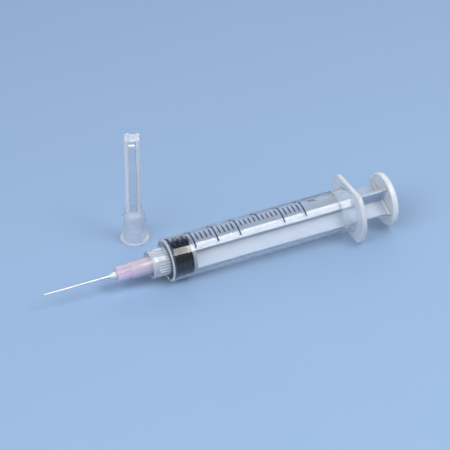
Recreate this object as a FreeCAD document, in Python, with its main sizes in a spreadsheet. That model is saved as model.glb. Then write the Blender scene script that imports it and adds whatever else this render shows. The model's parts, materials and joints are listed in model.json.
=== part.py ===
import FreeCAD, Part

import math
import os
import re

import Sketcher
from FreeCAD import Placement, Rotation, Vector

# Luer lock syringe, 6 mL, with its needle and, standing apart, the needle's cap.
#
# Every piece of the syringe is drawn in one shared frame: X runs along the axis, from the
# needle (minus) to the thumb rest (plus), and X = 0 is the front face of the barrel.
# The cap is drawn upright, with its mouth at Z = 0. At the end the syringe is laid down the
# way it lies on a table, on the rim of the barrel and one flat of the finger flange.

SIZES = [
    ("bore_radius", 6.35, "barrel bore 12.7 mm across, 7.89 mm of travel per millilitre"),
    ("barrel_wall", 0.95, "wall of the barrel tube"),
    ("front_wall", 1.05, "wall that closes the front of the barrel"),
    ("rim_bevel", 0.3, "edge of the front rim"),
    ("step_station", 60.6, "front of the thicker stretch before the flange"),
    ("step_height", 0.15, "how far that stretch stands out"),
    ("flange_station", 65.5, "front face of the finger flange"),
    ("flange_thickness", 1.75, ""),
    ("flange_radius", 12.15, "round ends of the flange"),
    ("flange_half_height", 9.22, "from the axis to each flat"),
    ("flange_corner", 3.0, "rounding of the four corners"),
    ("flange_bevel", 0.4, "all edges round the flange"),
    ("stop_station", 61.4, "front of the bead that keeps the stopper in"),
    ("stop_height", 0.16, "how far the bead stands into the bore"),
    ("stop_width", 0.9, ""),
    ("mouth_lead", 0.35, "lead-in at the rear mouth of the bore"),
    ("nozzle_length", 8.0, "male luer cone, from the front wall to its tip"),
    ("nozzle_tip_radius", 1.99, "luer cone at its tip"),
    ("luer_slope", 0.03, "6 percent taper: radius gained per millimetre"),
    ("nozzle_bore_radius", 1.05, "fluid passage"),
    ("collar_length", 5.9, "lock collar, from the front wall"),
    ("collar_inner_radius", 4.0, "root of the lock thread"),
    ("collar_ring_radius", 4.7, "smooth front ring of the collar"),
    ("collar_ring_length", 2.1, ""),
    ("grip_root_radius", 4.4, "collar between its grip ribs"),
    ("grip_crest_radius", 4.64, "tops of the grip ribs"),
    ("grip_rib_width", 0.46, ""),
    ("grip_rib_count", 28, ""),
    ("stopper_length", 6.35, "rubber stopper"),
    ("stopper_gap", 0.03, "stopper to front wall, at rest"),
    ("rubber_clearance", 0.02, "stopper to bore"),
    ("seal_rib_width", 1.25, "each of the three sealing ribs"),
    ("seal_groove_depth", 0.6, "grooves between the ribs"),
    ("seal_bevel", 0.2, "edges of the ribs"),
    ("socket_neck_depth", 1.3, "narrow mouth of the stopper's socket"),
    ("knob_length", 2.2, "knob of the rod inside the stopper"),
    ("knob_radius", 2.9, ""),
    ("neck_radius", 2.1, ""),
    ("knob_clearance", 0.05, "knob and neck to the stopper"),
    ("head_gap", 0.05, "stopper to the rod's head disc"),
    ("head_clearance", 0.3, "disc that pushes the stopper, to the bore"),
    ("head_thickness", 1.3, ""),
    ("rod_clearance", 0.35, "outer edges of the cross ribs to the bore"),
    ("rod_rib_thickness", 1.1, ""),
    ("rod_turn", 25.0, "degrees, how the cross happens to stand in the barrel"),
    ("thumb_station", 78.5, "front face of the thumb rest"),
    ("thumb_thickness", 2.05, ""),
    ("thumb_radius", 9.03, ""),
    ("thumb_rim_width", 1.0, "raised rim round the front face"),
    ("thumb_rim_height", 0.3, ""),
    ("thumb_bevel", 0.4, "both edges of the disc"),
    ("flare_length", 2.6, "ribs widen where they meet the thumb rest"),
    ("flare_height", 0.9, ""),
    ("hub_seat", 3.0, "front wall of the barrel to the mouth of the seated hub"),
    ("hub_length", 14.3, "needle hub"),
    ("hub_mouth_radius", 2.95, "outside of the hub at its mouth"),
    ("hub_middle_radius", 2.74, "outside of the hub behind its shoulder"),
    ("hub_front_length", 4.9, "narrower stretch with the flutes"),
    ("hub_root_radius", 2.3, "bottom of the flutes, at the shoulder"),
    ("hub_nose_radius", 2.2, "bottom of the flutes, at the front"),
    ("hub_rib_radius", 2.64, "crests between the flutes"),
    ("hub_rib_width", 2.3, ""),
    ("cavity_spare", 2.6, "end of the female luer cone beyond the tip of the male one"),
    ("luer_clearance", 0.03, "cone in cone"),
    ("lug_clearance", 0.12, "lock lugs at the hub's mouth, to the collar"),
    ("lug_width", 2.4, ""),
    ("lug_length", 1.1, ""),
    ("cannula_radius", 0.41, "21 gauge tube"),
    ("cannula_bore_radius", 0.26, ""),
    ("cannula_exposed", 26.1, "from the hub's front face to the point"),
    ("cannula_buried", 5.8, "from the hub's front face inwards"),
    ("bevel_length", 3.2, "slanting grind of the point"),
    ("bevel_turn", 143.0, "degrees, how the point happens to stand: its slant faces the table"),
    ("glue_clearance", 0.02, "tube to hub and tube to bead"),
    ("bead_length", 2.4, "adhesive bead on the hub's front face"),
    ("bead_base_radius", 1.15, ""),
    ("bead_tip_radius", 0.6, ""),
    ("cap_height", 40.0, "needle cap"),
    ("cap_core_radius", 2.35, "tube of the cap between its ribs"),
    ("cap_rib_radius", 2.95, "outer edges of the four long ribs"),
    ("cap_rib_width", 1.7, ""),
    ("cap_crown_height", 0.35, "ribs stand this much above the closed end"),
    ("cap_dimple_radius", 1.6, "recess in the closed end"),
    ("cap_dimple_depth", 0.5, ""),
    ("cap_end_wall", 2.0, "closed end"),
    ("cap_bore_radius", 1.5, "room for the needle"),
    ("cap_shoulder_top", 13.5, "top of the cone between tube and socket"),
    ("cap_shoulder_bottom", 9.8, ""),
    ("cap_socket_outer_radius", 3.85, ""),
    ("cap_socket_radius", 3.05, "inside, slides over the hub"),
    ("cap_socket_depth", 10.3, ""),
    ("cap_grip_depth", 8.0, "from here inwards the socket narrows and grips the hub"),
    ("cap_grip_radius", 2.88, "narrow end of that grip"),
    ("cap_flare_top", 4.8, "top of the bell at the mouth"),
    ("cap_flare_bottom", 1.9, ""),
    ("cap_foot_radius", 4.87, "outside of the mouth"),
    ("cap_foot_bevel", 0.4, "both edges of the foot"),
    ("cap_mouth_lead", 0.4, "lead-in of the socket"),
    ("cap_side_distance", 25.3, "axis of the cap to the axis of the syringe"),
    ("cap_back_distance", 0.6, "axis of the cap ahead of the barrel's front face"),
    ("cap_turn", 20.7, "degrees, how the cap happens to stand"),
]

doc = FreeCAD.newDocument("LuerLockSyringe")
sheet = doc.addObject("Spreadsheet::Sheet", "Sizes")
for row, (alias, number, note) in enumerate(SIZES, 1):
    sheet.set(f"A{row}", alias)
    sheet.set(f"B{row}", str(number))
    sheet.setAlias(f"B{row}", alias)
    sheet.set(f"C{row}", note)
doc.recompute()


def size(alias):
    """One driving dimension, read from the sheet."""
    return float(sheet.get(alias))


def bound(formula):
    """A formula of sheet names, with each name pointed at the sheet."""
    return re.sub(r"\b([a-z]+(?:_[a-z]+)+)\b", r"Sizes.\1", formula)


def plane_of(body, role):
    return [item for item in body.Origin.OriginFeatures if item.Role == role][0]


def new_body(label):
    body = doc.addObject("PartDesign::Body", label)
    body.Label = label
    return body


def new_sketch(body, name, role, offset="0"):
    """A sketch on one of the body's own planes, moved along its normal by a formula."""
    sketch = body.newObject("Sketcher::SketchObject", name)
    sketch.AttachmentSupport = [(plane_of(body, role), "")]
    sketch.MapMode = "FlatFace"
    sketch.setExpression("AttachmentOffset.Base.z", bound(offset))
    return sketch


def draw_outline(sketch, corners):
    """Closed outline of straight lines. Each corner is a pair of formulas, from the origin."""
    count = len(corners)
    spots = [Vector(10 + index, index * index, 0) for index in range(count)]
    first = sketch.GeometryCount
    for index in range(count):
        sketch.addGeometry(Part.LineSegment(spots[index], spots[(index + 1) % count]), False)
    for index in range(count):
        sketch.addConstraint(Sketcher.Constraint(
            "Coincident", first + index, 2, first + (index + 1) % count, 1))
    for index, pair in enumerate(corners):
        for kind, formula, start in zip(("DistanceX", "DistanceY"), pair, spots[index]):
            place = sketch.addConstraint(Sketcher.Constraint(
                kind, -1, 1, first + index, 1, float(start)))
            sketch.setExpression(f"Constraints[{place}]", bound(formula))


def draw_circle(sketch, radius):
    circle = sketch.addGeometry(Part.Circle(Vector(0, 0, 0), Vector(0, 0, 1), 1.0), False)
    sketch.addConstraint(Sketcher.Constraint("Coincident", circle, 3, -1, 1))
    place = sketch.addConstraint(Sketcher.Constraint("Radius", circle, 1.0))
    sketch.setExpression(f"Constraints[{place}]", bound(radius))


def revolve(body, name, corners, axis="H_Axis"):
    """Turn a half profile, drawn on the XZ plane, once round an axis of its sketch."""
    sketch = new_sketch(body, name + "_profile", "XZ_Plane")
    draw_outline(sketch, corners)
    feature = body.newObject("PartDesign::Revolution", name)
    feature.Profile = sketch
    feature.ReferenceAxis = (sketch, [axis])
    feature.Angle = 360
    return feature


def pad(body, sketch, name, length):
    feature = body.newObject("PartDesign::Pad", name)
    feature.Profile = sketch
    feature.setExpression("Length", bound(length))
    return feature


def repeat_round(body, feature, role, count):
    """Repeat a feature evenly round one of the body's own axes."""
    pattern = body.newObject("PartDesign::PolarPattern", feature.Name + "_round")
    pattern.Originals = [feature]
    pattern.Axis = (plane_of(body, role), [""])
    pattern.Angle = 360
    pattern.setExpression("Occurrences", bound(count))
    body.Tip = pattern
    return pattern


def dress_edges(body, kind, name, width, wanted):
    """Round or bevel those edges of the body so far that the test picks out."""
    doc.recompute()
    base = body.Tip
    chosen = [f"Edge{number}" for number, edge in enumerate(base.Shape.Edges, 1) if wanted(edge)]
    feature = body.newObject("PartDesign::" + kind, name)
    feature.Base = (base, chosen)
    feature.setExpression("Radius" if kind == "Fillet" else "Size", bound(width))
    return feature


ALONG = Vector(1, 0, 0)
UP = Vector(0, 0, 1)


def make_barrel():
    """One moulding: tube, front wall, luer cone, lock collar, finger flange and stop bead."""
    body = new_body("barrel")
    outer = "bore_radius + barrel_wall"
    rear = "flange_station + flange_thickness"
    bead_middle = "stop_station + stop_width / 2"
    revolve(body, "barrel_tube", [
        ("-nozzle_length", "nozzle_bore_radius"),
        ("-nozzle_length", "nozzle_tip_radius"),
        ("0", "nozzle_tip_radius + luer_slope * nozzle_length"),
        ("0", "collar_inner_radius"),
        ("-collar_length", "collar_inner_radius"),
        ("-collar_length", "collar_ring_radius"),
        ("collar_ring_length - collar_length", "collar_ring_radius"),
        ("collar_ring_length - collar_length", "grip_root_radius"),
        ("0", "grip_root_radius"),
        ("0", outer + " - rim_bevel"),
        ("rim_bevel", outer),
        ("step_station", outer),
        ("step_station + step_height", outer + " + step_height"),
        (rear, outer + " + step_height"),
        (rear, "bore_radius + mouth_lead"),
        (rear + " - mouth_lead", "bore_radius"),
        ("stop_station + stop_width", "bore_radius"),
        (bead_middle, "bore_radius - stop_height"),
        ("stop_station", "bore_radius"),
        ("front_wall", "bore_radius"),
        ("front_wall", "nozzle_bore_radius"),
    ])

    sketch = new_sketch(body, "grip_rib_section", "YZ_Plane", "collar_ring_length - collar_length")
    inner = "grip_root_radius - (collar_ring_radius - grip_root_radius) / 2"
    draw_outline(sketch, [
        ("-grip_rib_width / 2", inner),
        ("grip_rib_width / 2", inner),
        ("grip_rib_width / 4", "grip_crest_radius"),
        ("-grip_rib_width / 4", "grip_crest_radius"),
    ])
    rib = pad(body, sketch, "grip_rib", "collar_length - collar_ring_length")
    repeat_round(body, rib, "X_Axis", "grip_rib_count")

    make_flange(body)
    reach = size("flange_radius")
    half = size("flange_half_height")

    def at_corner(edge):
        if not isinstance(edge.Curve, Part.Line):
            return False
        middle = edge.CenterOfMass
        across = math.hypot(middle.y, middle.z)
        return abs(across - reach) < 1e-4 and abs(abs(middle.z) - half) < 1e-4

    dress_edges(body, "Fillet", "flange_corners", "flange_corner", at_corner)
    ends = (size("flange_station"), size("flange_station") + size("flange_thickness"))

    def on_flange_edge(edge):
        wide = edge.BoundBox
        flat = wide.XLength < 1e-4 and min(abs(wide.XMin - end) for end in ends) < 1e-4
        return flat and all(math.hypot(vertex.Y, vertex.Z) > half for vertex in edge.Vertexes)

    dress_edges(body, "Chamfer", "flange_edges", "flange_bevel", on_flange_edge)
    return body


def make_flange(body):
    """Finger flange: a disc with two flats, so that the syringe does not roll."""
    sketch = new_sketch(body, "flange_section", "YZ_Plane", "flange_station")
    reach = size("flange_radius")
    half = size("flange_half_height")
    turn = math.asin(half / reach)
    centre = Vector(0, 0, 0)
    whole = Part.Circle(centre, Vector(0, 0, 1), reach)
    far = sketch.addGeometry(Part.ArcOfCircle(whole, -turn, turn), False)
    near = sketch.addGeometry(Part.ArcOfCircle(whole, math.pi - turn, math.pi + turn), False)
    corner = Vector(reach * math.cos(turn), half, 0)
    top = sketch.addGeometry(Part.LineSegment(corner, Vector(-corner.x, half, 0)), False)
    bottom = sketch.addGeometry(
        Part.LineSegment(Vector(-corner.x, -half, 0), Vector(corner.x, -half, 0)), False)
    joints = [(far, 2, top, 1), (top, 2, near, 1), (near, 2, bottom, 1), (bottom, 2, far, 1)]
    for one, one_end, other, other_end in joints:
        sketch.addConstraint(Sketcher.Constraint("Coincident", one, one_end, other, other_end))
    for arc in (far, near):
        sketch.addConstraint(Sketcher.Constraint("Coincident", arc, 3, -1, 1))
    for line in (top, bottom):
        sketch.addConstraint(Sketcher.Constraint("Horizontal", line))
    place = sketch.addConstraint(Sketcher.Constraint("Radius", far, reach))
    sketch.setExpression(f"Constraints[{place}]", bound("flange_radius"))
    place = sketch.addConstraint(Sketcher.Constraint("DistanceY", -1, 1, top, 1, half))
    sketch.setExpression(f"Constraints[{place}]", bound("flange_half_height"))
    place = sketch.addConstraint(Sketcher.Constraint("DistanceY", -1, 1, bottom, 1, -half))
    sketch.setExpression(f"Constraints[{place}]", bound("-flange_half_height"))
    pad(body, sketch, "flange", "flange_thickness")
    hollow = new_sketch(body, "flange_bore_section", "YZ_Plane", "flange_station + flange_thickness")
    draw_circle(hollow, "bore_radius")
    cut = body.newObject("PartDesign::Pocket", "flange_bore")
    cut.Profile = hollow
    cut.setExpression("Length", bound("flange_thickness + mouth_lead"))


def make_stopper():
    """Rubber stopper with three sealing ribs and a socket for the rod's knob."""
    body = new_body("plunger_stopper")
    front = "front_wall + stopper_gap"
    rear = front + " + stopper_length"
    crest = "bore_radius - rubber_clearance"
    root = crest + " - seal_groove_depth"
    groove = "(stopper_length - 3 * seal_rib_width) / 2"
    first_end = front + " + seal_rib_width"
    second = first_end + " + " + groove
    second_end = second + " + seal_rib_width"
    third = rear + " - seal_rib_width"
    neck = "neck_radius + knob_clearance"
    room = "knob_radius + knob_clearance"
    knob_rear = rear + " - socket_neck_depth"
    knob_front = knob_rear + " - knob_length - 2 * knob_clearance"
    low = crest + " - seal_bevel"
    ribs = []
    for start, end in ((front, first_end), (second, second_end), (third, rear)):
        ribs += [
            (start, root),
            (start, low),
            (start + " + seal_bevel", crest),
            (end + " - seal_bevel", crest),
            (end, low),
            (end, root),
        ]
    revolve(body, "stopper_form", [(front, "0")] + ribs[1:-1] + [
        (rear, neck),
        (knob_rear, neck),
        (knob_rear, room),
        (knob_front, room),
        (knob_front, "0"),
    ])
    return body


def make_rod():
    """Plunger rod: knob, head disc, cross ribs and thumb rest, moulded in one."""
    body = new_body("plunger_rod")
    rear_face = "front_wall + stopper_gap + stopper_length"
    knob_rear = rear_face + " - socket_neck_depth - knob_clearance"
    head = rear_face + " + head_gap"
    revolve(body, "rod_head", [
        (knob_rear + " - knob_length", "0"),
        (knob_rear + " - knob_length", "neck_radius"),
        (knob_rear + " - knob_length / 2", "knob_radius"),
        (knob_rear, "knob_radius"),
        (knob_rear, "neck_radius"),
        (head, "neck_radius"),
        (head, "bore_radius - head_clearance"),
        (head + " + head_thickness", "bore_radius - head_clearance"),
        (head + " + head_thickness", "0"),
    ])
    start = head + " + head_thickness / 2"
    edge = "bore_radius - rod_clearance"
    sketch = new_sketch(body, "rod_blade_section", "YZ_Plane", start)
    draw_outline(sketch, [
        ("-rod_rib_thickness / 2", "rod_clearance - bore_radius"),
        ("rod_rib_thickness / 2", "rod_clearance - bore_radius"),
        ("rod_rib_thickness / 2", edge),
        ("-rod_rib_thickness / 2", edge),
    ])
    length = "thumb_station + thumb_thickness / 2 - (" + start + ")"
    blade = pad(body, sketch, "rod_blade", length)
    crossed = body.newObject("PartDesign::PolarPattern", "rod_cross")
    crossed.Originals = [blade]
    crossed.Axis = (plane_of(body, "X_Axis"), [""])
    crossed.Angle = 90
    crossed.Occurrences = 2
    body.Tip = crossed

    floor = "thumb_station + thumb_rim_height"
    rear = "thumb_station + thumb_thickness"
    revolve(body, "thumb_rest", [
        (floor, "0"),
        (floor, "thumb_radius - thumb_rim_width"),
        ("thumb_station", "thumb_radius - thumb_rim_width + thumb_rim_height"),
        ("thumb_station", "thumb_radius - thumb_bevel"),
        ("thumb_station + thumb_bevel", "thumb_radius"),
        (rear + " - thumb_bevel", "thumb_radius"),
        (rear, "thumb_radius - thumb_bevel"),
        (rear, "0"),
    ])

    sketch = new_sketch(body, "flare_section", "XZ_Plane")
    draw_outline(sketch, [
        (floor + " - flare_length", edge + " - rod_rib_thickness"),
        (floor + " - flare_length", edge),
        (floor, edge + " + flare_height"),
        (floor + " + (thumb_thickness - thumb_rim_height) / 2", edge),
        (floor, edge + " - rod_rib_thickness"),
    ])
    flare = pad(body, sketch, "rib_flare", "rod_rib_thickness")
    flare.Midplane = True
    repeat_round(body, flare, "X_Axis", "4")
    return body


def make_hub():
    """Needle hub: female luer cone, two lock lugs, shoulder and four flutes at the front."""
    body = new_body("needle_hub")
    mouth = "-hub_seat"
    front = "-hub_seat - hub_length"
    shoulder = front + " + hub_front_length"
    bottom = "-nozzle_length - cavity_spare"
    tip = "nozzle_tip_radius + luer_clearance"
    hole = "cannula_radius + glue_clearance"
    revolve(body, "hub_form", [
        (mouth, tip + " + luer_slope * (nozzle_length - hub_seat)"),
        (bottom, tip + " - luer_slope * cavity_spare"),
        (bottom, hole),
        (front, hole),
        (front, "hub_nose_radius"),
        (shoulder, "hub_root_radius"),
        (shoulder, "hub_middle_radius"),
        (mouth, "hub_mouth_radius"),
    ])
    sketch = new_sketch(body, "hub_rib_section", "YZ_Plane", front)
    draw_outline(sketch, [
        ("-hub_rib_width / 2", "hub_rib_radius / 3"),
        ("hub_rib_width / 2", "hub_rib_radius / 3"),
        ("hub_rib_width / 2", "hub_nose_radius"),
        ("hub_rib_width / 4", "hub_rib_radius"),
        ("-hub_rib_width / 4", "hub_rib_radius"),
        ("-hub_rib_width / 2", "hub_nose_radius"),
    ])
    rib = pad(body, sketch, "hub_rib", "hub_front_length")
    repeat_round(body, rib, "X_Axis", "4")

    sketch = new_sketch(body, "lug_section", "YZ_Plane", mouth + " - lug_length")
    inner = "(hub_middle_radius + nozzle_tip_radius + luer_slope * nozzle_length + luer_clearance) / 2"
    crest = "collar_inner_radius - lug_clearance"
    corner = "sqrt((" + crest + ") ^ 2 - lug_width ^ 2 / 4)"
    draw_outline(sketch, [
        ("-lug_width / 2", inner),
        ("lug_width / 2", inner),
        ("lug_width / 2", corner),
        ("0", crest),
        ("-lug_width / 2", corner),
    ])
    lug = pad(body, sketch, "lock_lug", "lug_length")
    repeat_round(body, lug, "X_Axis", "2")
    return body


def make_cannula():
    """Steel needle tube with a slanting point."""
    body = new_body("cannula")
    face = "-hub_seat - hub_length"
    point = face + " - cannula_exposed"
    sketch = new_sketch(body, "cannula_section", "YZ_Plane", point)
    draw_circle(sketch, "cannula_radius")
    draw_circle(sketch, "cannula_bore_radius")
    pad(body, sketch, "cannula_tube", "cannula_exposed + cannula_buried")
    grind = new_sketch(body, "bevel_section", "XZ_Plane")
    draw_outline(grind, [
        (point + " - cannula_radius", "-cannula_radius"),
        (point, "-cannula_radius"),
        (point + " + bevel_length", "cannula_radius"),
        (point + " + bevel_length", "2 * cannula_radius"),
        (point + " - cannula_radius", "2 * cannula_radius"),
    ])
    cut = body.newObject("PartDesign::Pocket", "bevel")
    cut.Profile = grind
    cut.Midplane = True
    cut.setExpression("Length", bound("4 * cannula_radius"))
    return body


def make_bead():
    """Bead of adhesive where the needle leaves the hub."""
    body = new_body("adhesive_bead")
    rear = "-hub_seat - hub_length - glue_clearance"
    front = rear + " - bead_length"
    hole = "cannula_radius + glue_clearance"
    revolve(body, "bead_form", [
        (rear, hole),
        (front, hole),
        (front, "bead_tip_radius"),
        (rear + " - bead_length / 4", "bead_base_radius"),
        (rear, "bead_base_radius"),
    ])
    return body


def make_cap():
    """Needle cap: socket with a bell mouth, and a closed tube with four long ribs."""
    body = new_body("needle_cap")
    shaft = "cap_height - cap_crown_height"
    floor = shaft + " - cap_dimple_depth"
    revolve(body, "cap_form", [
        ("cap_socket_radius + cap_mouth_lead", "0"),
        ("cap_foot_radius - cap_foot_bevel", "0"),
        ("cap_foot_radius", "cap_foot_bevel"),
        ("cap_foot_radius", "cap_flare_bottom - cap_foot_bevel"),
        ("cap_foot_radius - cap_foot_bevel", "cap_flare_bottom"),
        ("cap_socket_outer_radius", "cap_flare_top"),
        ("cap_socket_outer_radius", "cap_shoulder_bottom"),
        ("cap_core_radius", "cap_shoulder_top"),
        ("cap_core_radius", shaft),
        ("cap_dimple_radius", shaft),
        ("cap_dimple_radius", floor),
        ("0", floor),
        ("0", floor + " - cap_end_wall"),
        ("cap_bore_radius", floor + " - cap_end_wall"),
        ("cap_bore_radius", "cap_socket_depth + cap_grip_radius - cap_bore_radius"),
        ("cap_grip_radius", "cap_socket_depth"),
        ("cap_socket_radius", "cap_grip_depth"),
        ("cap_socket_radius", "cap_mouth_lead"),
    ], "V_Axis")
    sketch = new_sketch(body, "cap_rib_section", "XY_Plane", "cap_shoulder_bottom")
    inner = "(cap_core_radius + cap_bore_radius) / 2"
    draw_outline(sketch, [
        (inner, "-cap_rib_width / 2"),
        ("cap_rib_radius", "-cap_rib_width / 2"),
        ("cap_rib_radius", "cap_rib_width / 2"),
        (inner, "cap_rib_width / 2"),
    ])
    rib = pad(body, sketch, "cap_rib", "cap_height - cap_shoulder_bottom")
    repeat_round(body, rib, "Z_Axis", "4")
    return body


def lay_down(pieces, cap):
    """Lay the syringe on its rim and flange, and stand the cap beside it on its mouth."""
    rim = size("bore_radius") + size("barrel_wall")
    tilt = math.degrees(math.atan2(size("flange_half_height") - rim, size("flange_station")))
    lean = Rotation(Vector(0, 1, 0), -tilt)
    turns = {"plunger_rod": size("rod_turn"), "cannula": size("bevel_turn")}
    for piece in pieces:
        own_turn = Rotation(ALONG, turns.get(piece.Label, 0.0))
        piece.Placement = Placement(Vector(0, 0, 0), lean.multiply(own_turn))
    cap.Placement = Placement(
        Vector(-size("cap_back_distance"), size("cap_side_distance"), 0),
        Rotation(UP, size("cap_turn")))
    doc.recompute()
    boxes = [piece.Shape.optimalBoundingBox(False, False) for piece in pieces]
    drop = min(box.ZMin for box in boxes)
    boxes.append(cap.Shape.optimalBoundingBox(False, False))
    middle_x = (min(box.XMin for box in boxes) + max(box.XMax for box in boxes)) / 2
    middle_y = (min(box.YMin for box in boxes) + max(box.YMax for box in boxes)) / 2
    for piece in pieces:
        piece.Placement.Base = Vector(-middle_x, -middle_y, -drop)
    cap.Placement.Base = cap.Placement.Base - Vector(middle_x, middle_y, 0)
    doc.recompute()
    print(f"tilt {tilt:.4f} degrees, front face of the barrel at "
          f"{-middle_x:.4f} {-middle_y:.4f} {-drop:.4f}")


barrel = make_barrel()
syringe = [barrel, make_stopper(), make_rod(), make_hub(), make_cannula(), make_bead()]
cap = make_cap()
doc.recompute()
lay_down(syringe, cap)

for item in doc.Objects:
    if "Invalid" in item.State or "Error" in item.State:
        raise RuntimeError(f"{item.Name} failed: {item.State}")
for piece in syringe + [cap]:
    if piece.Shape.isNull() or not piece.Shape.isValid() or len(piece.Shape.Solids) != 1:
        raise RuntimeError(f"{piece.Label} is not one sound solid")

os.makedirs("parts", exist_ok=True)
for piece in syringe + [cap]:
    piece.Shape.exportStep(f"parts/{piece.Label}.step")
    print(f"{piece.Label}: {piece.Shape.Volume:.2f} mm3")
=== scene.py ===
# %% [markdown]
# # Luer lock syringe
# A 6 mL syringe lies on a table with its needle screwed on. The needle's cap stands beside it.
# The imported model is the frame: it says where every piece is. This lesson dresses it, one
# moulding at a time, in the order in which the plastic, rubber and steel meet.

# %% Load the frame
import json
from math import asin, atan2, cos, degrees, pi, radians, sin, sqrt

import bmesh
import bpy
from mathutils import Matrix, Vector


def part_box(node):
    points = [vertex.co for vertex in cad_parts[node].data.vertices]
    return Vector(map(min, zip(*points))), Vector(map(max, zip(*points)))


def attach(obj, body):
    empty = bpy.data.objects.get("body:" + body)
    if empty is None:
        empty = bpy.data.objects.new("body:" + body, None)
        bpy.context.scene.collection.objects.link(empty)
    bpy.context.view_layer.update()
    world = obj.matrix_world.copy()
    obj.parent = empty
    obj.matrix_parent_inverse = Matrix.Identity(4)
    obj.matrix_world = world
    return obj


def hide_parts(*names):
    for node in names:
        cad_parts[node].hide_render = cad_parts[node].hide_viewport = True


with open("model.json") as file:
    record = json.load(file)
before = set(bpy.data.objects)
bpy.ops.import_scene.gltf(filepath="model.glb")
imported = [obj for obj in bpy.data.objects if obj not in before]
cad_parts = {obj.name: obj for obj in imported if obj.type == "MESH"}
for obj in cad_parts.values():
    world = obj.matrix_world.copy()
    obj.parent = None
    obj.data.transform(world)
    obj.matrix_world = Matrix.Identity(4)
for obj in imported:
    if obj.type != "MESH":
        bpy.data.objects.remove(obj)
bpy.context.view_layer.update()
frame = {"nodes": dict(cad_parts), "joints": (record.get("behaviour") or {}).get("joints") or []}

print("frame loaded:", ", ".join(sorted(frame["nodes"])))

# %% [markdown]
# ## Where the syringe lies
# The syringe touches the table with the rim of its barrel and with one flat of its flange, so
# its axis leans a little. Every piece is modelled upright and level, in millimetres: X runs
# along the axis from the front face of the barrel towards the thumb, Z is up. One matrix then
# lays the mesh down. The hinge of the rod lies on the axis at the rear end of the stopper, so
# it gives both the lean and the place, with no copied numbers.

# %% Lay matrix, read from the rod's hinge
MM = 0.001
STOPPER_REAR = 7.43

hinge = next(joint for joint in frame["joints"] if joint["name"] == "rod_turn")
ALONG = Vector(hinge["axis"]).normalized()
SIDE = Vector((0, 1, 0))
UP = ALONG.cross(SIDE)
front_face = Vector(hinge["pos_m"]) - ALONG * STOPPER_REAR * MM

LAY = Matrix((ALONG * MM, SIDE * MM, UP * MM)).transposed().to_4x4()
LAY.translation = front_face
print(f"axis leans {degrees(asin(ALONG.z)):.2f} degrees, front face at",
      [round(value / MM, 2) for value in front_face])

# %% [markdown]
# The cap stands on its mouth, so its own frame is upright. Its foot is round, so the middle of
# its packed box is its axis. It is turned so that two of its ribs face the camera's corners.

# %% Stand matrix, read from the cap's box
CAP_TURN = 20.7

cap_low, cap_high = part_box("needle_cap")
cap_axis = (cap_low + cap_high) / 2
STAND = (Matrix.Translation((cap_axis.x, cap_axis.y, 0)) @ Matrix.Rotation(radians(CAP_TURN), 4, "Z")
         @ Matrix.Scale(MM, 4))
print("cap axis at", [round(value / MM, 2) for value in cap_axis[:2]])

# %% [markdown]
# ## Node trees as Python sums
# A finish is easier to read when its maths looks like maths. `Wire` holds one output of a node
# and turns + and * into Math nodes. `Finish` makes every other node with one method:
# its type, its settings first, then the values or wires of its inputs.

# %% Wire and Finish
class Wire:
    """An output of a shader node, on which Python's operators work."""

    def __init__(self, finish, socket):
        self.finish = finish
        self.socket = socket

    def math(self, operation, first, second):
        return self.finish.node("Math", {"operation": operation}, {0: first, 1: second})

    def __add__(self, other):
        return self.math("ADD", self, other)

    def __mul__(self, other):
        return self.math("MULTIPLY", self, other)

    __radd__ = __add__
    __rmul__ = __mul__


class Finish:
    """One material, built node by node."""

    def __init__(self, name):
        self.material = bpy.data.materials.new(name)
        self.material.use_nodes = True
        self.tree = self.material.node_tree
        self.tree.nodes.clear()

    def node(self, kind, settings=None, inputs=None, output=0):
        made = self.tree.nodes.new("ShaderNode" + kind)
        for key, value in (settings or {}).items():
            setattr(made, key, value)
        for key, value in (inputs or {}).items():
            if isinstance(value, Wire):
                self.tree.links.new(value.socket, made.inputs[key])
            else:
                made.inputs[key].default_value = value
        return Wire(self, made.outputs[output]) if len(made.outputs) else None

    def place(self, stretch=(1, 1, 1)):
        """Object coordinates in millimetres, divided by a stretch along each axis."""
        spot = self.node("TexCoord", output="Object")
        return self.node("Mapping", None,
                         {"Vector": spot, "Scale": [1 / MM / part for part in stretch]})

    def noise(self, stretch, detail=3.0, roughness=0.5):
        return self.node("TexNoise", None, {"Vector": self.place(stretch), "Scale": 1.0,
                                            "Detail": detail, "Roughness": roughness})

    def blend(self, factor, first, second):
        return self.node("Mix", {"data_type": "RGBA"}, {0: factor, 6: first, 7: second}, 2)

    def bump(self, height, depth):
        return self.node("Bump", None, {"Height": height, "Distance": depth * MM, "Strength": 1.0})

    def plastic(self, values):
        return self.node("BsdfPrincipled", None, values)

    def lit_through(self, share, shader):
        """Lets a share of the light straight through a clear wall to what is inside."""
        clear = self.node("BsdfTransparent", None, {"Color": (share, share, share, 1)})
        for kind in ("Is Diffuse Ray", "Is Shadow Ray"):
            rays = self.node("LightPath", output=kind)
            shader = self.node("MixShader", None, {0: rays, 1: shader, 2: clear})
        return shader

    def done(self, shader):
        self.node("OutputMaterial", None, {"Surface": shader})
        print("finish:", self.material.name, len(self.tree.nodes), "nodes")
        return self.material


# %% [markdown]
# ## Clear polypropylene
# The barrel is injection moulded. It is clear, and looks milky only where the plastic is thick
# or ends in an edge. So one kind of finish is made five times: wet, where the oiled stopper
# touches the wall; dry, along the rest of the tube; step, where the wall grows before the
# flange; thick, for the collar and the flange; and edge, for the crests of the grip ribs and
# for the rims. They differ in how much light they scatter. The refraction is kept low, because
# light that is caught between four walls would come out black; the gloss comes from a coat
# instead. Low waves run along the tube, the way the plastic flowed, and bend its reflections.

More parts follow.
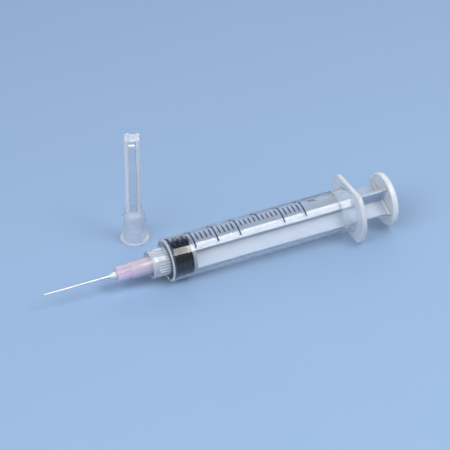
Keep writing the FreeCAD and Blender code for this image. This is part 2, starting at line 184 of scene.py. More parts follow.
# %% Finishes of the barrel
def clear_plastic(name, clearness, passing, bend, rough, dark, light):
    f = Finish(name)
    waves = f.noise((14, 2.2, 2.2), 2.0)
    haze = f.noise((5, 1.6, 1.6), 4.0, 0.6)
    return f.done(f.lit_through(passing, f.plastic({
        "Base Color": f.blend(haze, dark, light), "Roughness": haze * 0.05 + rough, "IOR": bend,
        "Transmission Weight": clearness, "Coat Weight": 1.0, "Coat IOR": 1.42,
        "Coat Roughness": 0.09, "Normal": f.bump(waves, 0.002)})))


CLEAR_WET = clear_plastic("barrel_wall", 1.0, 0.90, 1.2, 0.02, (0.96, 0.975, 0.99, 1),
                          (0.985, 0.99, 1, 1))
CLEAR_DRY = clear_plastic("barrel_wall_dry", 0.98, 0.90, 1.2, 0.02, (0.95, 0.97, 0.99, 1),
                          (0.98, 0.99, 1.0, 1))
CLEAR_STEP = clear_plastic("barrel_step", 0.82, 0.82, 1.25, 0.04, (0.82, 0.89, 0.98, 1),
                           (0.90, 0.95, 1.0, 1))
CLEAR_THICK = clear_plastic("barrel_thick", 0.70, 0.78, 1.25, 0.06, (0.82, 0.89, 0.98, 1),
                            (0.90, 0.95, 1.0, 1))
CLEAR_EDGE = clear_plastic("barrel_edge", 0.44, 0.6, 1.25, 0.08, (0.88, 0.92, 0.98, 1),
                           (0.94, 0.96, 1.0, 1))

# %% [markdown]
# ## Milky polypropylene
# The plunger rod and the cap are the same family of plastic with no clarifier in it, so light
# spreads inside them. The rod is nearly opaque. Its shaft is painted darker than the plastic,
# as painted shade, because the lamps reach it brightly inside the barrel. Its thumb rest is
# painted lighter, as painted light on a face that turns away from the lamps.
# The cap is thin enough to see through between its ribs. Its socket is cloudier, and its ribs,
# its lip and its closed end are whiter still. All have the fine satin of a sparked mould.

# %% Finishes of the rod and the cap
def milky(name, dark, light, clearness, passing, rough, scatter):
    f = Finish(name)
    flow = f.noise((9, 3, 3), 3.0)
    grain = f.noise((0.11, 0.11, 0.11), 2.0)
    return f.done(f.lit_through(passing, f.plastic({
        "Base Color": f.blend(flow, dark, light), "Roughness": flow * 0.10 + rough, "IOR": 1.3,
        "Transmission Weight": clearness, "Subsurface Weight": scatter,
        "Subsurface Radius": (1.0, 1.0, 1.0), "Subsurface Scale": 3 * MM,
        "Coat Weight": 0.4, "Coat IOR": 1.5, "Coat Roughness": 0.15,
        "Normal": f.bump(grain, 0.0015)})))


# Painted light: the shaft's colour is darker than the plastic, as painted shade, and the thumb rest's
# is lighter, as painted light.
MILKY_ROD_PAINTED_SHADE = milky("rod_shaft_painted_shade", (0.46, 0.54, 0.67, 1), (0.52, 0.60, 0.73, 1), 0.12, 0.8, 0.25, 0.8)
MILKY_REST_PAINTED_LIGHT = milky("rod_rest_painted_light", (0.79, 0.85, 0.97, 1), (0.84, 0.89, 1.0, 1), 0.12, 0.6, 0.20, 0.8)
MILKY_CAP = milky("cap_tube", (0.86, 0.91, 0.97, 1), (0.90, 0.94, 0.99, 1), 0.92, 0.92, 0.08, 0.0)
MILKY_CAP_THICK = milky("cap_socket", (0.84, 0.88, 0.96, 1), (0.89, 0.92, 0.98, 1),
                        0.76, 0.85, 0.10, 0.0)
MILKY_CAP_END = milky("cap_ribs", (0.90, 0.93, 0.98, 1), (0.93, 0.96, 1.0, 1), 0.45, 0.75, 0.14, 0.0)

# %% [markdown]
# ## Black rubber, pink hub, white adhesive, steel and ink
# The stopper is oiled with silicone, so it is black with a wet sheen. The hub is tinted by its
# gauge colour. The needle is drawn through dies: its scratches run along it. The scale is
# printed with a dark blue-black ink that lies a little unevenly.

# %% Finishes of the small pieces
def black_rubber():
    f = Finish("stopper_rubber")
    rings = f.noise((0.5, 8, 8), 2.0)
    return f.done(f.plastic({
        "Base Color": f.blend(rings, (0.004, 0.005, 0.009, 1), (0.010, 0.012, 0.018, 1)),
        "Roughness": rings * 0.2 + 0.12, "IOR": 1.3, "Normal": f.bump(rings, 0.008)}))


def pink_hub():
    f = Finish("hub_pink")
    flow = f.noise((4, 1.2, 1.2), 3.0)
    grain = f.noise((0.12, 0.12, 0.12), 2.0)
    return f.done(f.plastic({
        "Base Color": f.blend(flow, (0.74, 0.58, 0.78, 1), (0.86, 0.74, 0.88, 1)),
        "Roughness": flow * 0.10 + 0.18, "IOR": 1.4, "Transmission Weight": 0.25,
        "Subsurface Weight": 0.8, "Subsurface Radius": (1.0, 0.8, 0.95),
        "Subsurface Scale": 2.5 * MM, "Coat Weight": 0.5, "Coat Roughness": 0.1,
        "Normal": f.bump(grain, 0.002)}))


def white_adhesive():
    f = Finish("glue")
    lumps = f.noise((0.5, 0.5, 0.5), 4.0, 0.6)
    return f.done(f.plastic({
        "Base Color": f.blend(lumps, (0.82, 0.81, 0.77, 1), (0.93, 0.92, 0.90, 1)),
        "Roughness": lumps * 0.2 + 0.2, "Subsurface Weight": 0.3,
        "Subsurface Radius": (1.0, 0.9, 0.8), "Subsurface Scale": 0.5 * MM,
        "Normal": f.bump(lumps, 0.05)}))


def needle_steel():
    f = Finish("drawn_steel")
    drawn = f.noise((6, 0.05, 0.05), 4.0, 0.6)
    return f.done(f.plastic({
        "Base Color": f.blend(drawn, (0.82, 0.84, 0.86, 1), (0.95, 0.96, 0.97, 1)),
        "Metallic": 1.0, "Roughness": drawn * 0.2 + 0.25, "Normal": f.bump(drawn, 0.003)}))


def scale_ink():
    f = Finish("ink")
    body = f.noise((0.25, 0.25, 0.25), 3.0, 0.7)
    return f.done(f.plastic({
        "Base Color": f.blend(body, (0.003, 0.009, 0.06, 1), (0.008, 0.022, 0.11, 1)),
        "Roughness": body * 0.3 + 0.35, "Normal": f.bump(body, 0.004)}))


RUBBER = black_rubber()
PINK = pink_hub()
ADHESIVE = white_adhesive()
STEEL = needle_steel()
INK = scale_ink()

# %% [markdown]
# ## How the mouldings are made
# Nearly every piece is a turned shape. `turned` draws half of its section as one flat face,
# rounds the corners that are named with a vertex bevel, throws the face away and spins its
# outline once round X. A closed outline gives a closed shell, wall thickness and all.
# `piece` closes the poles, turns the faces outwards, lays the mesh in its place, gives it its
# finishes, hangs it on the body it moves with and hides the solid of the frame that it stands for.

# %% turned and piece
def turned(corners, steps, segments=4):
    """Corners are (along, out, rounding) in mm. The outline is spun once round X."""
    bm = bmesh.new()
    verts = [bm.verts.new((along, 0, out)) for along, out, _ in corners]
    bm.faces.new(verts)
    for rounding in sorted({corner[2] for corner in corners if corner[2]}):
        chosen = [vert for vert, corner in zip(verts, corners) if corner[2] == rounding]
        bmesh.ops.bevel(bm, geom=chosen, offset=rounding, offset_type="OFFSET", affect="VERTICES",
                        segments=segments, profile=0.5, clamp_overlap=True, material=-1)
    bmesh.ops.delete(bm, geom=bm.faces[:], context="FACES_ONLY")
    on_axis = [edge for edge in bm.edges if all(abs(vert.co.z) < 1e-6 for vert in edge.verts)]
    bmesh.ops.delete(bm, geom=on_axis, context="EDGES")
    bmesh.ops.spin(bm, geom=bm.verts[:] + bm.edges[:], cent=(0, 0, 0), axis=(1, 0, 0),
                   dvec=(0, 0, 0), angle=2 * pi, steps=steps, use_merge=True)
    bmesh.ops.remove_doubles(bm, verts=bm.verts, dist=1e-4)
    return bm


def around(vert):
    """Angle of a vertex round the axis, from the top towards +Y, in degrees, and its radius."""
    return degrees(atan2(vert.co.y, vert.co.z)), sqrt(vert.co.y ** 2 + vert.co.z ** 2)


def piece(name, bm, body, finishes, node=None, lay=LAY, sharp=35):
    bmesh.ops.remove_doubles(bm, verts=bm.verts, dist=1e-4)
    bmesh.ops.recalc_face_normals(bm, faces=bm.faces)
    open_edges = sum(1 for edge in bm.edges if len(edge.link_faces) != 2)
    bmesh.ops.transform(bm, matrix=lay, verts=bm.verts)
    mesh = bpy.data.meshes.new(name)
    bm.to_mesh(mesh)
    bm.free()
    for finish in finishes:
        mesh.materials.append(finish)
    mesh.shade_smooth()
    mesh.set_sharp_from_angle(angle=radians(sharp))
    made = bpy.data.objects.new(name, mesh)
    bpy.context.scene.collection.objects.link(made)
    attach(made, body)
    if node:
        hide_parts(node)
    print(f"{name}: {len(mesh.polygons)} faces, {open_edges} open edges, on {body}")
    return made


# %% [markdown]
# ## The barrel
# One moulding holds it all: luer cone, lock collar, front wall, tube, finger flange and the
# bead that keeps the stopper in. The section is spun in 168 steps, six for each of the 28 grip
# ribs, so that pushing two columns in six outwards raises the ribs from the collar. The
# flange is spun as a full disc and then held between its two flats.

# %% Barrel section
BORE = 6.35
TUBE = 7.3
WET = 7.6
THICKER = 60.7
NOZZLE = -8.0
LUER_BORE = 1.05
COLLAR_RING = -3.8
FRONT_WALL = 1.05
FLANGE = 65.5
FLANGE_END = 67.25
FLANGE_OUT = 12.15
FLANGE_FLAT = 9.22
FLANGE_CORNER = 3.0
FLANGE_EDGE = 0.5
GRIP_ROOT = 4.4
GRIP_CREST = 4.64
RIBS = 28
COLUMNS = RIBS * 6

barrel = turned([
    (NOZZLE, LUER_BORE, 0.12), (NOZZLE, 1.99, 0.2), (0, 2.23, 0.25), (0, 4.0, 0.3), (-5.9, 4.0, 0.2),
    (-5.9, 4.7, 0.35), (COLLAR_RING, 4.7, 0.12), (COLLAR_RING, GRIP_ROOT, 0), (0, GRIP_ROOT, 0),
    (0, BORE, 0), (0, TUBE, 0.35), (FRONT_WALL, TUBE, 0), (WET, TUBE, 0),
    (THICKER - 0.1, TUBE, 0.12), (THICKER + 0.1, TUBE + 0.15, 0.12), (FLANGE, TUBE + 0.15, 0.5),
    (FLANGE, FLANGE_OUT, FLANGE_EDGE), (FLANGE_END, FLANGE_OUT, FLANGE_EDGE),
    (FLANGE_END, 6.75, 0.15), (66.9, BORE, 0.1), (62.3, BORE, 0.1), (61.85, 6.19, 0.15),
    (61.4, BORE, 0.1), (WET, BORE, 0), (FRONT_WALL, BORE, 0.35), (FRONT_WALL, LUER_BORE, 0.15)],
    COLUMNS)
print("barrel section spun:", len(barrel.faces), "faces")

# %% [markdown]
# The ribs end against the front wall on one side and against the smooth ring of the collar on
# the other. The flange's outline is a circle between two flats, with a small arc in each of
# the four corners where they meet. Each ring of its rounded edge is held back from that
# outline by as much as it lies inside the outermost ring. Then each face takes the number of
# its finish.

# %% Grip ribs and flats
arc_middle = Vector((sqrt((FLANGE_OUT - FLANGE_CORNER) ** 2 - (FLANGE_FLAT - FLANGE_CORNER) ** 2),
                     FLANGE_FLAT - FLANGE_CORNER))


def flange_reach(angle):
    """How far the flange reaches from the axis at an angle from its top, in degrees."""
    toward = Vector((abs(sin(radians(angle))), abs(cos(radians(angle)))))
    if toward.x * FLANGE_FLAT < toward.y * arc_middle.x:
        return FLANGE_FLAT / toward.y
    if toward.x * arc_middle.y > toward.y * arc_middle.x:
        return FLANGE_OUT
    near = toward.dot(arc_middle)
    return near + sqrt(near ** 2 - arc_middle.length_squared + FLANGE_CORNER ** 2)


for vert in barrel.verts:
    angle, out = around(vert)
    column = round(angle / 360 * COLUMNS) % 6
    grown = 1
    if COLLAR_RING - 0.05 < vert.co.x < 0.05 and abs(out - GRIP_ROOT) < 0.01 and column in (0, 1):
        grown = GRIP_CREST / out
    if vert.co.x > FLANGE - 0.1 and out > FLANGE_OUT - FLANGE_EDGE - 0.01:
        grown = (flange_reach(angle) - (FLANGE_OUT - out)) / out
    vert.co.y *= grown
    vert.co.z *= grown

IS_WET, IS_DRY, IS_STEP, IS_THICK, IS_EDGE = range(5)
for face in barrel.faces:
    middle = face.calc_center_median()
    out = middle.yz.length
    crest = COLLAR_RING < middle.x < 0 and out > GRIP_CREST - 0.06
    front_rim = middle.x < 0.5 and out > BORE + 0.05
    flange_rim = middle.x > FLANGE - 0.01 and out > FLANGE_FLAT - FLANGE_EDGE
    if crest or front_rim or flange_rim:
        face.material_index = IS_EDGE
    elif middle.x < -0.01 or middle.x > FLANGE - 0.01:
        face.material_index = IS_THICK
    elif middle.x > THICKER:
        face.material_index = IS_STEP
    elif middle.x > WET:
        face.material_index = IS_DRY
    else:
        face.material_index = IS_WET

piece("barrel_moulding", barrel, "barrel",
      [CLEAR_WET, CLEAR_DRY, CLEAR_STEP, CLEAR_THICK, CLEAR_EDGE], "barrel")

# %% [markdown]
# ## The thread in the collar
# Two ridges wind round the inside of the collar, 5 mm for each turn, and hold the hub by its
# lugs. A small section is spun as a face, with a step forward each time: that is a screw.
# It starts in front of a lug and ends behind the other one, so both stay clear.

# %% Lock thread
LEAD = 5.0
TURN = 220


def thread_ridge(start_angle):
    bm = bmesh.new()
    section = [(-5.3, 4.05), (-5.1, 3.62), (-4.7, 3.62), (-4.5, 4.05)]
    bm.faces.new([bm.verts.new((along, 0, out)) for along, out in section])
    steps = 44
    bmesh.ops.spin(bm, geom=bm.faces[:], cent=(0, 0, 0), axis=(1, 0, 0), angle=radians(TURN),
                   dvec=(LEAD * TURN / 360 / steps, 0, 0), steps=steps)
    bmesh.ops.rotate(bm, verts=bm.verts, cent=(0, 0, 0),
                     matrix=Matrix.Rotation(radians(start_angle), 3, "X"))
    return bm


for number, start_angle in enumerate((-20, 160), 1):
    piece(f"lock_thread_{number}", thread_ridge(start_angle), "barrel", [CLEAR_THICK])

# %% [markdown]
# ## The printed scale
# The scale is a field of plain strokes: one for each fifth of a millilitre, longer ones for
# whole millilitres, with a small foot, and a short one at four. From three to five the short
# strokes start a little higher. Only those of whole millilitres reach on towards the numerals.
# The ink is a film, so each stroke is a thin section spun part of a turn just on the surface.

# %% Strokes of the scale
ZERO = 1.04
MILLILITRE = 7.894
INK_IN, INK_OUT = TUBE - 0.004, TUBE + 0.014
LONG_START, LONG_END = -41.5, 14.5
SHORT_START, SHORT_END = -22.2, 2.5
HIGH_START = -17.0
SHORT_WIDTH, LONG_WIDTH = 0.48, 0.50
FOOT_WIDTH, FOOT_TURN = 0.62, 2.2
NUMERALS_START = 33.0


def stroke(bm, along, start, end, width):
    """A strip of ink across the barrel, from one angle to the other."""
    half = width / 2
    section = [(along - half, INK_IN), (along - half, INK_OUT),
               (along + half, INK_OUT), (along + half, INK_IN)]
    verts = [bm.verts.new((x, 0, out)) for x, out in section]
    face = bm.faces.new(verts)
    bmesh.ops.rotate(bm, verts=verts, cent=(0, 0, 0), matrix=Matrix.Rotation(radians(-start), 3, "X"))
    bmesh.ops.spin(bm, geom=[face], cent=(0, 0, 0), axis=(1, 0, 0), angle=radians(start - end),
                   dvec=(0, 0, 0), steps=max(2, round((end - start) / 4)))


scale = bmesh.new()
for fifth in range(31):
    along = ZERO + fifth * MILLILITRE / 5
    if fifth % 5:
        stroke(scale, along, HIGH_START if 15 < fifth < 25 else SHORT_START,
               SHORT_END, SHORT_WIDTH)
    elif fifth == 20:
        stroke(scale, along, HIGH_START, LONG_END, LONG_WIDTH)
    else:
        stroke(scale, along, LONG_START, LONG_END, LONG_WIDTH)
        stroke(scale, along, LONG_START, LONG_START + FOOT_TURN, FOOT_WIDTH)
piece("scale_strokes", scale, "barrel", [INK])

# %% [markdown]
# ## Numerals
# The numerals and the unit are plain type. Text is made a mesh while it is flat, cut into
# narrow strips, so that it can bend, and then wrapped round the barrel: its width runs along
# the axis and its height round the tube.

# %% Wrapped type
def type_mesh(text, height, along, start):
    """Flat type, wrapped on the barrel with its feet at the angle `start`."""
    curve = bpy.data.curves.new("type", "FONT")
    curve.body = text
    curve.size = height * 1.4
    curve.align_x = "CENTER"
    curve.offset = height * 0.025
    curve.extrude = (INK_OUT - INK_IN) / 2
    flat = bpy.data.objects.new("type", curve)
    mesh = bpy.data.meshes.new_from_object(flat)
    bm = bmesh.new()
    bm.from_mesh(mesh)
    bpy.data.objects.remove(flat)
    bpy.data.curves.remove(curve)
    bpy.data.meshes.remove(mesh)
    bmesh.ops.remove_doubles(bm, verts=bm.verts, dist=1e-5)
    for cut in range(1, 12):
        bmesh.ops.bisect_plane(bm, geom=bm.verts[:] + bm.edges[:] + bm.faces[:],
                               plane_co=(0, cut * 0.2, 0), plane_no=(0, 1, 0), dist=1e-5)
    for vert in bm.verts:
        angle = radians(start) + vert.co.y / TUBE
        out = (INK_IN + INK_OUT) / 2 + vert.co.z
        vert.co = (along + vert.co.x, out * sin(angle), out * cos(angle))
    return bm


def join_into(target, source):
    mesh = bpy.data.meshes.new("part")
    source.to_mesh(mesh)
    source.free()
    target.from_mesh(mesh)
    bpy.data.meshes.remove(mesh)


numerals = bmesh.new()
for number in range(1, 7):
    join_into(numerals, type_mesh(str(number), 1.9, ZERO + number * MILLILITRE, NUMERALS_START))
join_into(numerals, type_mesh("mL", 1.7, ZERO + 6 * MILLILITRE + 4.2, -3.0))
piece("scale_numerals", numerals, "barrel", [INK])

# %% [markdown]
# ## The stopper
# Three sealing ribs touch the bore, with softly rounded grooves between. A socket at the back
# takes the knob of the rod. The section is turned like the barrel's, with larger roundings,
# because rubber has no sharp edges.

# %% Stopper
RUB = 6.33
GROOVE = 5.73

piece("rubber_stopper", turned([
    (1.08, 0, 0), (1.08, RUB, 0.3), (2.33, RUB, 0.3), (2.5, GROOVE, 0.2), (3.46, GROOVE, 0.2),
    (3.63, RUB, 0.3), (4.88, RUB, 0.3), (5.05, GROOVE, 0.2), (6.01, GROOVE, 0.2),
    (6.18, RUB, 0.3), (STOPPER_REAR, RUB, 0.3), (STOPPER_REAR, 2.15, 0.1), (6.13, 2.15, 0.1),
    (6.13, 2.95, 0.1), (3.83, 2.95, 0.2), (3.83, 0, 0)], 128),
    "stopper", [RUBBER], "plunger_stopper")

# %% [markdown]
# ## The plunger rod
# Knob and head disc are turned. The shaft is a cross: its outline is drawn once as a flat
# face, its corners are rounded, and it is extruded towards the thumb, widening where it runs
# into the thumb rest. The thumb rest is a dished disc with a raised rim.

# %% Rod: head
ROD_TURN = -25
HEAD = 7.48
ROD_EDGE = 6.0
BLADE = 1.1
THUMB = 78.5

head = turned([
    (3.88, 0, 0), (3.88, 2.1, 0.3), (4.98, 2.9, 0.4), (6.08, 2.9, 0.25), (6.08, 2.1, 0.1),
    (HEAD, 2.1, 0.1), (HEAD, 6.05, 0.3), (HEAD + 1.3, 6.05, 0.3), (HEAD + 1.3, 0, 0)], 96)
print("rod head:", len(head.faces), "faces")

# %% Rod: cross
def cross_shaft(stations):
    """Cross section extruded along X. Stations are (along, reach of the blades)."""
    bm = bmesh.new()
    half = BLADE / 2
    outline = []
    for quarter in range(4):
        turn = Matrix.Rotation(radians(90 * quarter), 3, "X")
        for side, out in ((-half, ROD_EDGE), (half, ROD_EDGE), (half, half)):
            outline.append(bm.verts.new(turn @ Vector((stations[0][0], -side, out))))
    bm.faces.new(outline)
    tips = [vert for vert in outline if around(vert)[1] > ROD_EDGE / 2]
    roots = [vert for vert in outline if around(vert)[1] < ROD_EDGE / 2]
    for group, rounding in ((tips, 0.22), (roots, 0.35)):
        bmesh.ops.bevel(bm, geom=group, offset=rounding, offset_type="OFFSET", affect="VERTICES",
                        segments=3, profile=0.5, clamp_overlap=True, material=-1)
    reach = stations[0][1]
    face = bm.faces[:]
    for number, (along, wanted) in enumerate(stations[1:]):
        grown = bmesh.ops.extrude_face_region(bm, geom=face)["geom"]
        if number:
            bmesh.ops.delete(bm, geom=face, context="FACES_ONLY")
        face = [item for item in grown if isinstance(item, bmesh.types.BMFace)]
        for vert in {vert for item in face for vert in item.verts}:
            angle, out = around(vert)
            vert.co.x = along
            if out > ROD_EDGE / 2:
                vert.co.y *= 1 + (wanted - reach) / out
                vert.co.z *= 1 + (wanted - reach) / out
        reach = wanted
    bmesh.ops.rotate(bm, verts=bm.verts, cent=(0, 0, 0),
                     matrix=Matrix.Rotation(radians(-ROD_TURN), 3, "X"))
    return bm


shaft = cross_shaft([(HEAD + 0.7, ROD_EDGE), (HEAD + 1.6, ROD_EDGE), (30, ROD_EDGE), (52, ROD_EDGE),
                     (THUMB - 2.6, ROD_EDGE), (THUMB - 1.9, 6.08), (THUMB - 1.1, 6.28),
                     (THUMB - 0.5, 6.55), (THUMB + 0.5, 6.9)])
print("rod cross:", len(shaft.faces), "faces")

# %% Rod: thumb rest
THUMB_OUT = 9.03

rest = turned([
    (THUMB + 0.3, 0, 0), (THUMB + 0.3, 7.9, 0.2), (THUMB, 8.2, 0.12), (THUMB, THUMB_OUT, 0.4),
    (THUMB + 2.05, THUMB_OUT, 0.5), (THUMB + 2.05, 8.0, 0.2), (THUMB + 1.85, 7.5, 0.4),
    (THUMB + 1.75, 0, 0)], 128)
nub = bmesh.new()
bmesh.ops.create_cone(nub, cap_ends=True, segments=20, radius1=0.55, radius2=0.38, depth=0.7)
bmesh.ops.bevel(nub, geom=nub.edges[:], offset=0.08, offset_type="OFFSET", affect="EDGES",
                segments=2, profile=0.5, clamp_overlap=True, material=-1)
NUB_ANGLE = 71
bmesh.ops.transform(nub, verts=nub.verts, matrix=Matrix.Rotation(radians(-NUB_ANGLE), 4, "X")
                    @ Matrix.Translation((THUMB + 0.5, 0, THUMB_OUT - 0.12)))
rod = bmesh.new()
for part in (head, shaft, rest, nub):
    bmesh.ops.recalc_face_normals(part, faces=part.faces)
    join_into(rod, part)
# The thumb rest's faces take the finish with painted light, and the shaft's faces take the one with
# painted shade.
IS_SHAFT, IS_REST = range(2)
for face in rod.faces:
    face.material_index = IS_REST if face.calc_center_median().x > THUMB - 0.01 else IS_SHAFT
piece("plunger_rod_moulding", rod, "rod", [MILKY_ROD_PAINTED_SHADE, MILKY_REST_PAINTED_LIGHT], "plunger_rod")

# %% [markdown]
# ## The needle hub
# The hub is a hollow cone that wedges on the luer cone. Its front end is cut back between four
# raised panels, so that fingers and tools can turn it, and a shoulder ends the panels. The
# section is turned in 96 steps; the columns that fall between the panels are drawn inwards.

# %% Hub
HUB_FRONT = -17.3
SHOULDER = -12.4
PANEL = 2.64
HUB_ROOT = 2.2
PANEL_HALF = 24

hub = turned([
    (-3.0, 2.17, 0.1), (-10.6, 1.94, 0.15), (-10.6, 0.43, 0.1), (HUB_FRONT, 0.43, 0.05),
    (HUB_FRONT, HUB_ROOT, 0.0), (HUB_FRONT + 0.25, PANEL, 0.0), (SHOULDER - 0.12, PANEL, 0.0),
    (SHOULDER, 2.74, 0.1), (-3.0, 2.95, 0.2)], 96)
for vert in hub.verts:
    angle, out = around(vert)
    off_panel = abs((angle + 45) % 90 - 45)
    if vert.co.x < SHOULDER - 0.05 and abs(out - PANEL) < 0.01 and off_panel > PANEL_HALF:
        root = HUB_ROOT + 0.1 * (vert.co.x - HUB_FRONT) / (SHOULDER - HUB_FRONT)
        vert.co.y *= root / out
        vert.co.z *= root / out

for angle in (0, 180):
    lug = bmesh.new()
    bmesh.ops.create_cube(lug, size=1.0)
    bmesh.ops.scale(lug, verts=lug.verts, vec=(1.1, 2.4, 1.3))
    bmesh.ops.bevel(lug, geom=lug.edges[:], offset=0.15, offset_type="OFFSET", affect="EDGES",
                    segments=2, profile=0.5, clamp_overlap=True, material=-1)
    bmesh.ops.transform(lug, verts=lug.verts, matrix=Matrix.Rotation(radians(angle), 4, "X")
                        @ Matrix.Translation((-3.56, 0, 3.15)))
    join_into(hub, lug)
piece("hub_moulding", hub, "needle", [PINK], "needle_hub")

# %% [markdown]
# ## The needle tube
# A needle starts as a tube. Three grinds make its point: one long slant and two short ones on
# either side of the tip. Each grind is one cut with a plane that clears what lies beyond, and
# the ring between outer and inner wall is then bridged.

# %% Needle tube
TUBE_OUT = 0.41
TUBE_IN = 0.26
TIP = -43.4
TUBE_REAR = -11.5
SLANT_TURN = 143

needle = turned([(TIP, TUBE_IN, 0), (TIP, TUBE_OUT, 0), (TUBE_REAR, TUBE_OUT, 0),
                 (TUBE_REAR, TUBE_IN, 0)], 40)
front_ring = [face for face in needle.faces if face.calc_center_median().x < TIP + 0.01]
bmesh.ops.delete(needle, geom=front_ring, context="FACES_ONLY")
slant = atan2(2 * TUBE_OUT, 3.2)
for turn, steep, ahead in ((0, 1.0, 0.0), (38, 1.9, 0.15), (-38, 1.9, 0.15)):
    lean = slant * steep
    normal = Matrix.Rotation(radians(turn), 3, "X") @ Vector((-sin(lean), 0, cos(lean)))
    spot = Matrix.Rotation(radians(turn), 3, "X") @ Vector((TIP - ahead, 0, -TUBE_OUT * 0.98))
    bmesh.ops.bisect_plane(needle, geom=needle.verts[:] + needle.edges[:] + needle.faces[:],
                           plane_co=spot, plane_no=normal, clear_outer=True, dist=1e-5)
rim = [edge for edge in needle.edges if len(edge.link_faces) == 1]
bmesh.ops.bridge_loops(needle, edges=rim)
bmesh.ops.rotate(needle, verts=needle.verts, cent=(0, 0, 0),
                 matrix=Matrix.Rotation(radians(SLANT_TURN), 3, "X"))
piece("needle_tube", needle, "needle", [STEEL], "cannula", sharp=25)

# %% [markdown]
# ## The bead of adhesive
# The glue climbs the needle and wets the face of the hub, so its outline is hollow on both
# ends. A few more corners in the section make that curve.

# %% Bead
GLUE = HUB_FRONT - 0.02

piece("glue_bead", turned([
    (GLUE, 0.43, 0), (GLUE - 2.4, 0.43, 0), (GLUE - 2.38, 0.5, 0.03), (GLUE - 1.7, 0.66, 0.3),
    (GLUE - 0.75, 1.0, 0.3), (GLUE - 0.2, 1.15, 0.15), (GLUE, 1.15, 0)], 64),
    "bead", [ADHESIVE], "adhesive_bead")

# %% [markdown]
# ## The needle cap
# The cap is drawn along X like the rest, from its mouth at 0 to its closed end at 40, and is
# stood on its mouth when it is placed. Four ribs run down the tube: the columns within 17
# degrees of them are pushed out, and lifted a little at the closed end. Low ridges inside
# the socket grip the hub.

# %% Cap
CAP_CORE = 2.35
CAP_RIB = 2.95
CAP_TUBE = 13.5
CAP_TOP = 39.65
CAP_END = 40.0
SOCKET = 3.05
SOCKET_GRIP = 2.97
RIB_HALF = 17.5


def off_rib(angle):
    """How far an angle lies from the middle of the nearest rib, in degrees."""
    return abs((angle + 45) % 90 - 45)


cap = turned([
    (0, 3.45, 0.1), (0, 4.87, 0.45), (1.9, 4.87, 0.6), (4.8, 3.85, 0.8), (9.8, 3.85, 0.5),
    (12.02, CAP_RIB, 0), (CAP_TUBE, CAP_CORE, 0), (CAP_TOP, CAP_CORE, 0), (CAP_TOP, 2.05, 0),
    (CAP_TOP, 1.95, 0), (CAP_TOP, 1.6, 0.08), (39.15, 1.6, 0.15), (39.15, 0.5, 0.2),
    (39.35, 0.3, 0.1), (39.35, 0, 0), (37.15, 0, 0), (37.15, 1.5, 0.4), (11.68, 1.5, 0.3),
    (10.3, 2.88, 0.2), (8.0, SOCKET, 0), (0.4, SOCKET, 0.1)], 144)
for vert in cap.verts:
    angle, out = around(vert)
    if off_rib(angle) < RIB_HALF and vert.co.x > CAP_TUBE - 0.5 and abs(out - CAP_CORE) < 0.01:
        vert.co.y *= CAP_RIB / out
        vert.co.z *= CAP_RIB / out
        if vert.co.x > CAP_TOP - 0.5:
            vert.co.x = CAP_END
    if off_rib(angle) < RIB_HALF and vert.co.x > CAP_TOP - 0.05 and abs(out - 2.05) < 0.01:
        vert.co.x = CAP_END
    if vert.co.x < 10.4 and abs(out - SOCKET) < 0.01 and round(angle / 2.5) % 12 == 0:
        vert.co.y *= SOCKET_GRIP / out
        vert.co.z *= SOCKET_GRIP / out
print("cap section spun:", len(cap.faces), "faces")

# %% [markdown]
# The cap looks whitest at its lip, at its closed end and along its ribs, so their faces take the
# third finish, and the socket takes the second.

# %% Finishes of the cap's faces
IS_TUBE, IS_SOCKET, IS_RIB = range(3)
for face in cap.faces:
    middle = face.calc_center_median()
    angle = degrees(atan2(middle.y, middle.z))
    lip_or_end = middle.x < 0.5 or middle.x > 38.5
    rib = middle.x > 12.5 and off_rib(angle) < RIB_HALF + 0.5 and middle.yz.length > 2
    if lip_or_end or rib:
        face.material_index = IS_RIB
    elif middle.x < 12:
        face.material_index = IS_SOCKET
    else:
        face.material_index = IS_TUBE
upright = STAND @ Matrix.Rotation(radians(-90), 4, "Y")
piece("cap_moulding", cap, "barrel", [MILKY_CAP, MILKY_CAP_THICK, MILKY_CAP_END],
      "needle_cap", lay=upright)

# %% [markdown]
# ## Table, light and camera
# The table is a plain pale sheet. One softbox hangs above, a little in front, and as far to the
# right as the camera stands to the left, so that its mirror image runs along the whole barrel
# as a white band. A wide fill on the left lights the ends that face the camera, a dim panel
# behind draws the outlines of the clear plastic, and a pale sky fills the rest. The camera
# stands where the photograph was taken: the whole scale, the flange and the cap fix its place
# to a fraction of a pixel.

# %% Table
def table_top():
    f = Finish("table_top")
    cloud = f.noise((60, 60, 60), 2.0)
    return f.done(f.plastic({
        "Base Color": f.blend(cloud, (0.31, 0.46, 0.70, 1), (0.33, 0.48, 0.72, 1)),
        "Roughness": cloud * 0.1 + 0.4, "Specular IOR Level": 0.25, "Normal": f.bump(cloud, 0.01)}))


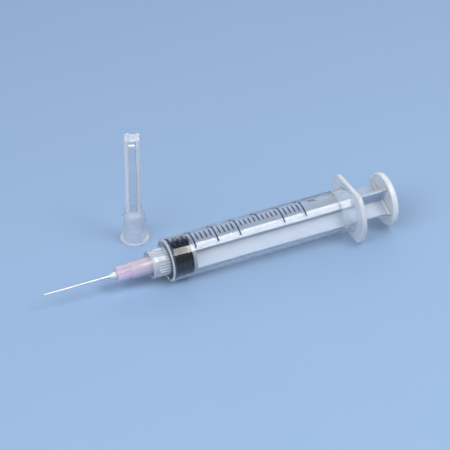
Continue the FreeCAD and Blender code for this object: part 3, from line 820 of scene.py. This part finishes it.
plane = bmesh.new()
bmesh.ops.create_grid(plane, x_segments=8, y_segments=8, size=2.5)
table_mesh = bpy.data.meshes.new("table")
plane.to_mesh(table_mesh)
plane.free()
table_mesh.materials.append(table_top())
table = bpy.data.objects.new("table", table_mesh)
bpy.context.scene.collection.objects.link(table)
print("table:", len(table_mesh.polygons), "faces")

# %% Lights
def softbox(name, spot, aim, width, depth, power):
    light = bpy.data.lights.new(name, "AREA")
    light.shape = "RECTANGLE"
    light.size = width
    light.size_y = depth
    light.energy = power
    lamp = bpy.data.objects.new(name, light)
    lamp.location = spot
    lamp.rotation_euler = (Vector(aim) - Vector(spot)).to_track_quat("-Z", "Y").to_euler()
    bpy.context.scene.collection.objects.link(lamp)
    print(f"{name}: {power} W, {width} by {depth} m")


softbox("softbox", (0.245, -0.27, 0.55), (0.245, 0, 0), 0.26, 0.40, 2.3)
softbox("fill", (-0.50, -0.25, 0.50), (0, 0, 0), 0.50, 0.50, 3.2)
softbox("back_panel", (0.35, 0.75, 0.52), (0, 0, 0), 0.90, 0.45, 1.2)

sky = bpy.data.worlds.new("sky")
sky.use_nodes = True
sky_light = sky.node_tree.nodes["Background"]
sky_light.inputs["Color"].default_value = (0.80, 0.87, 0.96, 1)
sky_light.inputs["Strength"].default_value = 0.29
bpy.context.scene.world = sky
bpy.context.scene.view_settings.view_transform = "Standard"

# %% Camera
FOCAL_PIXELS = 2150
AZIMUTH = radians(-24.338)
ELEVATION = radians(34.312)
DISTANCE = 0.7249
target = Vector((0.011564, 0.011348, 0))
back = Vector((sin(AZIMUTH) * cos(ELEVATION), -cos(AZIMUTH) * cos(ELEVATION), sin(ELEVATION)))

lens = bpy.data.cameras.new("camera")
lens.sensor_width = 36
lens.lens = FOCAL_PIXELS / 450 * lens.sensor_width
camera = bpy.data.objects.new("camera", lens)
camera.location = target + back * DISTANCE
camera.rotation_euler = (-back).to_track_quat("-Z", "Y").to_euler()
bpy.context.scene.collection.objects.link(camera)
bpy.context.scene.camera = camera
print(f"lens {lens.lens:.0f} mm at {DISTANCE} m")
